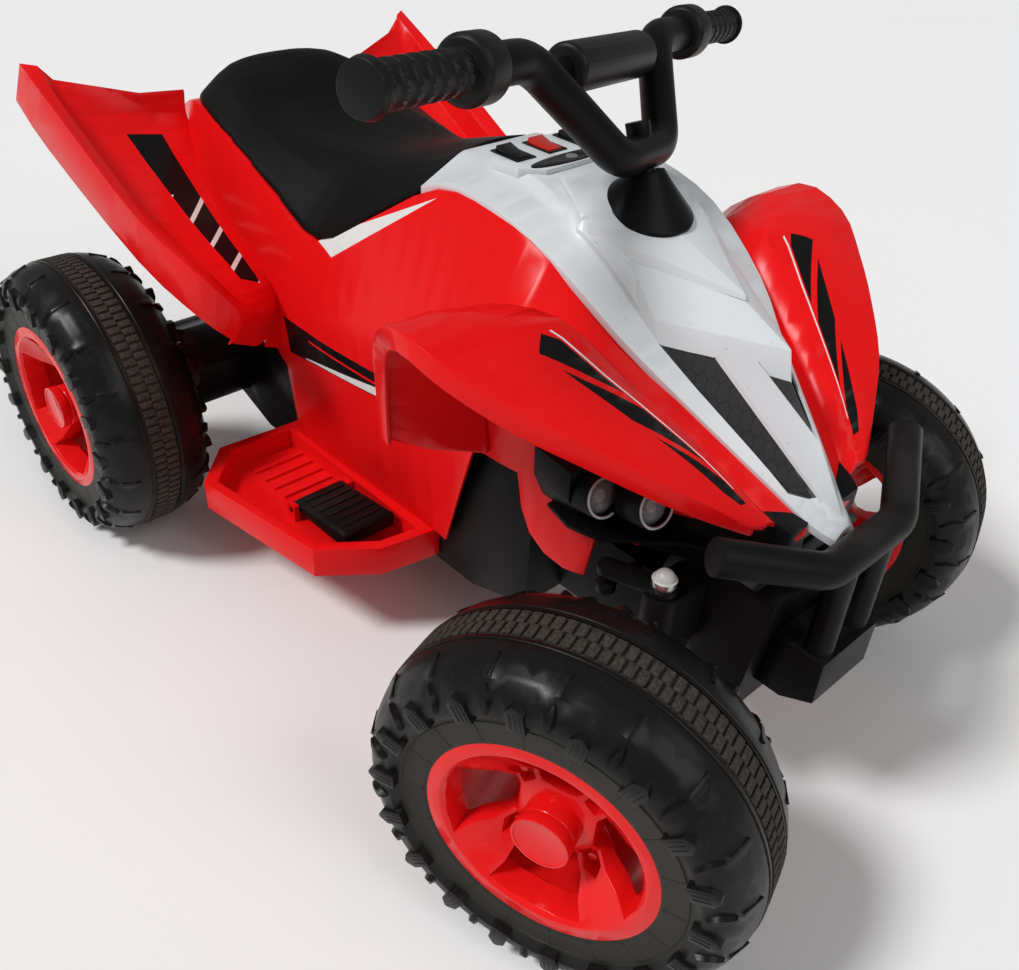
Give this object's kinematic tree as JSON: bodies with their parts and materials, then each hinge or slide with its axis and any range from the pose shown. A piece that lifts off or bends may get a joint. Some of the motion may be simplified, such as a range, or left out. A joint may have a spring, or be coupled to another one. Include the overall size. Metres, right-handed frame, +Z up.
{
  "type": "kids quad bike",
  "caption": "Battery ride-on quad bike for small children with moulded fenders, saddle, handlebar steering, lugged wheels and a foot pedal.",
  "frame": {"origin": "on the ground under the middle of the overall length and width, front wheels turned left at rest", "axes": "+X forward, +Y to the rider's left, +Z up"},
  "size_m": [0.9823, 0.6394, 0.6079],
  "materials": {
    "red_plastic": "glossy moulded",
    "white_plastic": "satin moulded",
    "seat_plastic": "satin, fine grain",
    "black_plastic": "fine grain",
    "grip_rubber": "ribbed, matt",
    "lens": "clear",
    "lamp": "clear white",
    "steel": "plated",
    "battery_case": "plain",
    "loom_cover": "smooth",
    "red_switch": "glossy",
    "grey_button": "glossy",
    "tyre_plastic": "satin moulded",
    "tread_rubber": "dusty matt",
    "rim_plastic": "glossy moulded"
  },
  "bodies": {
    "chassis": {"lower_chassis": "black_plastic", "right_footrest": "red_plastic", "left_footrest": "red_plastic", "body_shell": "red_plastic", "right_rear_fender": "red_plastic", "left_rear_fender": "red_plastic", "right_front_fender": "red_plastic", "left_front_fender": "red_plastic", "hood_cover": "white_plastic", "seat": "seat_plastic", "right_headlight_housing": "black_plastic", "left_headlight_housing": "black_plastic", "headlight_lenses": "lens", "headlight_lamps": "lamp", "front_bumper": "black_plastic", "front_axle_carrier": "black_plastic", "rear_axle": "steel", "rear_axle_nuts": "steel", "right_gearbox": "black_plastic", "left_gearbox": "black_plastic", "drive_motors": "steel", "battery": "battery_case", "control_box": "battery_case", "speaker": "black_plastic", "wiring_loom": "loom_cover", "dash_panel": "black_plastic", "body_screws": "steel", "steering_boot": "black_plastic"},
    "steering": {"handlebar": "black_plastic", "right_grip": "grip_rubber", "left_grip": "grip_rubber", "crossbar_pad": "grip_rubber", "steering_column": "steel", "handlebar_bolt": "steel"},
    "right_steering_knuckle": {"right_knuckle": "steel", "right_knuckle_nuts": "steel"},
    "left_steering_knuckle": {"left_knuckle": "steel", "left_knuckle_nuts": "steel"},
    "linkage": {"tie_rod": "steel"},
    "pedal": {"accelerator_pedal": "black_plastic"},
    "power_switch": {"power_rocker": "red_switch"},
    "direction_switch": {"direction_rocker": "black_plastic"},
    "speed_switch": {"speed_rocker": "black_plastic"},
    "music_switch": {"music_button": "grey_button"},
    "front_right_wheel": {"front_right_tyre": "tyre_plastic", "front_right_tread_band": "tread_rubber", "front_right_rim": "rim_plastic", "front_right_hub_cap": "rim_plastic"},
    "front_left_wheel": {"front_left_tyre": "tyre_plastic", "front_left_tread_band": "tread_rubber", "front_left_rim": "rim_plastic", "front_left_hub_cap": "rim_plastic"},
    "rear_right_wheel": {"rear_right_tyre": "tyre_plastic", "rear_right_tread_band": "tread_rubber", "rear_right_rim": "rim_plastic", "rear_right_hub_cap": "rim_plastic"},
    "rear_left_wheel": {"rear_left_tyre": "tyre_plastic", "rear_left_tread_band": "tread_rubber", "rear_left_rim": "rim_plastic", "rear_left_hub_cap": "rim_plastic"}
  },
  "joints": [
    {"name": "steer", "type": "hinge", "parent": "chassis", "child": "steering", "pos_m": [0.2442, 0, 0.24], "axis": [-0.342, 0, 0.9397], "range_deg": [-43.5, 6.5]},
    {"name": "right_king_pin", "type": "hinge", "parent": "chassis", "child": "right_steering_knuckle", "pos_m": [0.296, -0.09, 0.147], "axis": [0, 0, 1], "range_deg": [-43.5, 6.5]},
    {"name": "left_king_pin", "type": "hinge", "parent": "chassis", "child": "left_steering_knuckle", "pos_m": [0.296, 0.09, 0.147], "axis": [0, 0, 1], "range_deg": [-43.5, 6.5]},
    {"name": "tie_rod_pin", "type": "hinge", "parent": "right_steering_knuckle", "child": "linkage", "pos_m": [0.25333, -0.10428, 0.211], "axis": [0, 0, 1], "range_deg": [-6.5, 43.5]},
    {"name": "front_right_spin", "type": "hinge", "parent": "right_steering_knuckle", "child": "front_right_wheel", "pos_m": [0.34058, -0.22324, 0.147], "axis": [-0.3173, 0.9483, 0], "continuous": true},
    {"name": "front_left_spin", "type": "hinge", "parent": "left_steering_knuckle", "child": "front_left_wheel", "pos_m": [0.25142, 0.22324, 0.147], "axis": [-0.3173, 0.9483, 0], "continuous": true},
    {"name": "rear_right_spin", "type": "hinge", "parent": "chassis", "child": "rear_right_wheel", "pos_m": [-0.349, -0.2427, 0.147], "axis": [0, 1, 0], "continuous": true},
    {"name": "rear_left_spin", "type": "hinge", "parent": "chassis", "child": "rear_left_wheel", "pos_m": [-0.349, 0.2427, 0.147], "axis": [0, 1, 0], "continuous": true},
    {"name": "pedal_press", "type": "hinge", "parent": "chassis", "child": "pedal", "pos_m": [-0.09328, -0.1376, 0.10908], "axis": [0, 1, 0], "range_deg": [0, 6], "stiffness_Nm_per_rad": 4, "springref_deg": -3.44},
    {"name": "power_rocker_tip", "type": "hinge", "parent": "chassis", "child": "power_switch", "pos_m": [0.05112, 0, 0.47234], "axis": [0, 1, 0], "range_deg": [-18, 0]},
    {"name": "direction_rocker_tip", "type": "hinge", "parent": "chassis", "child": "direction_switch", "pos_m": [0.05112, -0.034, 0.47234], "axis": [0, 1, 0], "range_deg": [-18, 0]},
    {"name": "speed_rocker_tip", "type": "hinge", "parent": "chassis", "child": "speed_switch", "pos_m": [0.05112, 0.034, 0.47234], "axis": [0, 1, 0], "range_deg": [-18, 0]},
    {"name": "music_press", "type": "slide", "parent": "chassis", "child": "music_switch", "axis": [0, 0, 1], "range_m": [-0.0015, 0], "stiffness_N_per_m": 400, "springref_m": 0.0005}
  ],
  "couplings": [
    {"joint": "right_king_pin", "follows": "steer", "ratio": 1},
    {"joint": "left_king_pin", "follows": "steer", "ratio": 1},
    {"joint": "tie_rod_pin", "follows": "steer", "ratio": -1}
  ]
}
